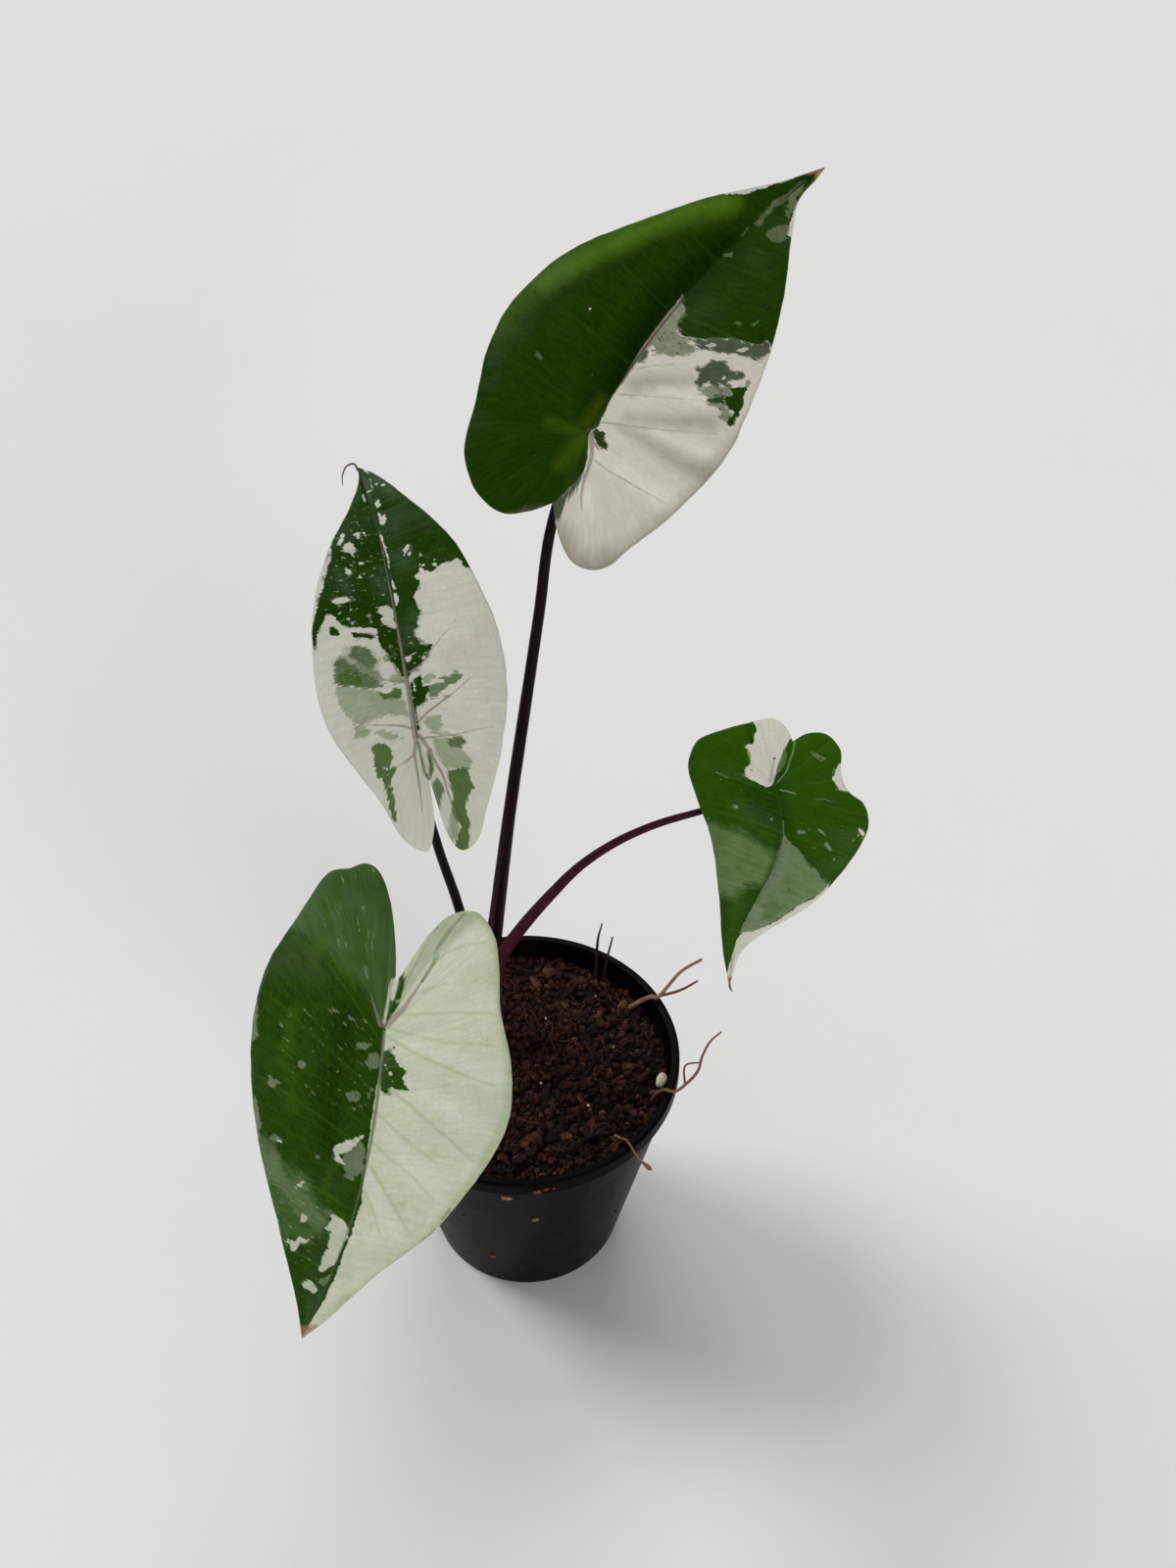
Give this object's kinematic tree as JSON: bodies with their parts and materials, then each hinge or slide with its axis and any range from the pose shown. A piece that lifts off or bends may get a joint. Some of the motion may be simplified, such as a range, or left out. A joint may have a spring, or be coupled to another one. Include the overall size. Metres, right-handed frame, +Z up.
{
  "type": "potted variegated black stem giant taro",
  "caption": "Young giant taro with black leaf stalks and cream-splashed arrow-shaped leaves, growing in a round black nursery pot of husk potting mix.",
  "frame": {"origin": "middle of the flat underside of the nursery pot", "axes": "+Z up, -Y towards the front of the plant, +X to the right seen from the front"},
  "size_m": [0.2199, 0.3009, 0.4172],
  "materials": {
    "black_plastic": "thin moulded nursery plastic, slightly satin, dusty",
    "husk_mix": "damp chopped coconut husk and fibre",
    "pumice": "matt porous grain",
    "stem_skin": "dull ringed plant stem",
    "stalk_skin": "smooth satin blackish purple leaf stalk",
    "leaf_skin": "glossy green leaf with grey-green and cream sectors"
  },
  "bodies": {
    "root": {"pot": "black_plastic", "potting_mix": "husk_mix", "pumice_grain": "pumice", "stem": "stem_skin", "petiole_a": "stalk_skin", "blade_a": "leaf_skin", "petiole_b": "stalk_skin", "blade_b": "leaf_skin", "petiole_c": "stalk_skin", "blade_c": "leaf_skin", "petiole_d": "stalk_skin", "blade_d": "leaf_skin"}
  },
  "joints": []
}
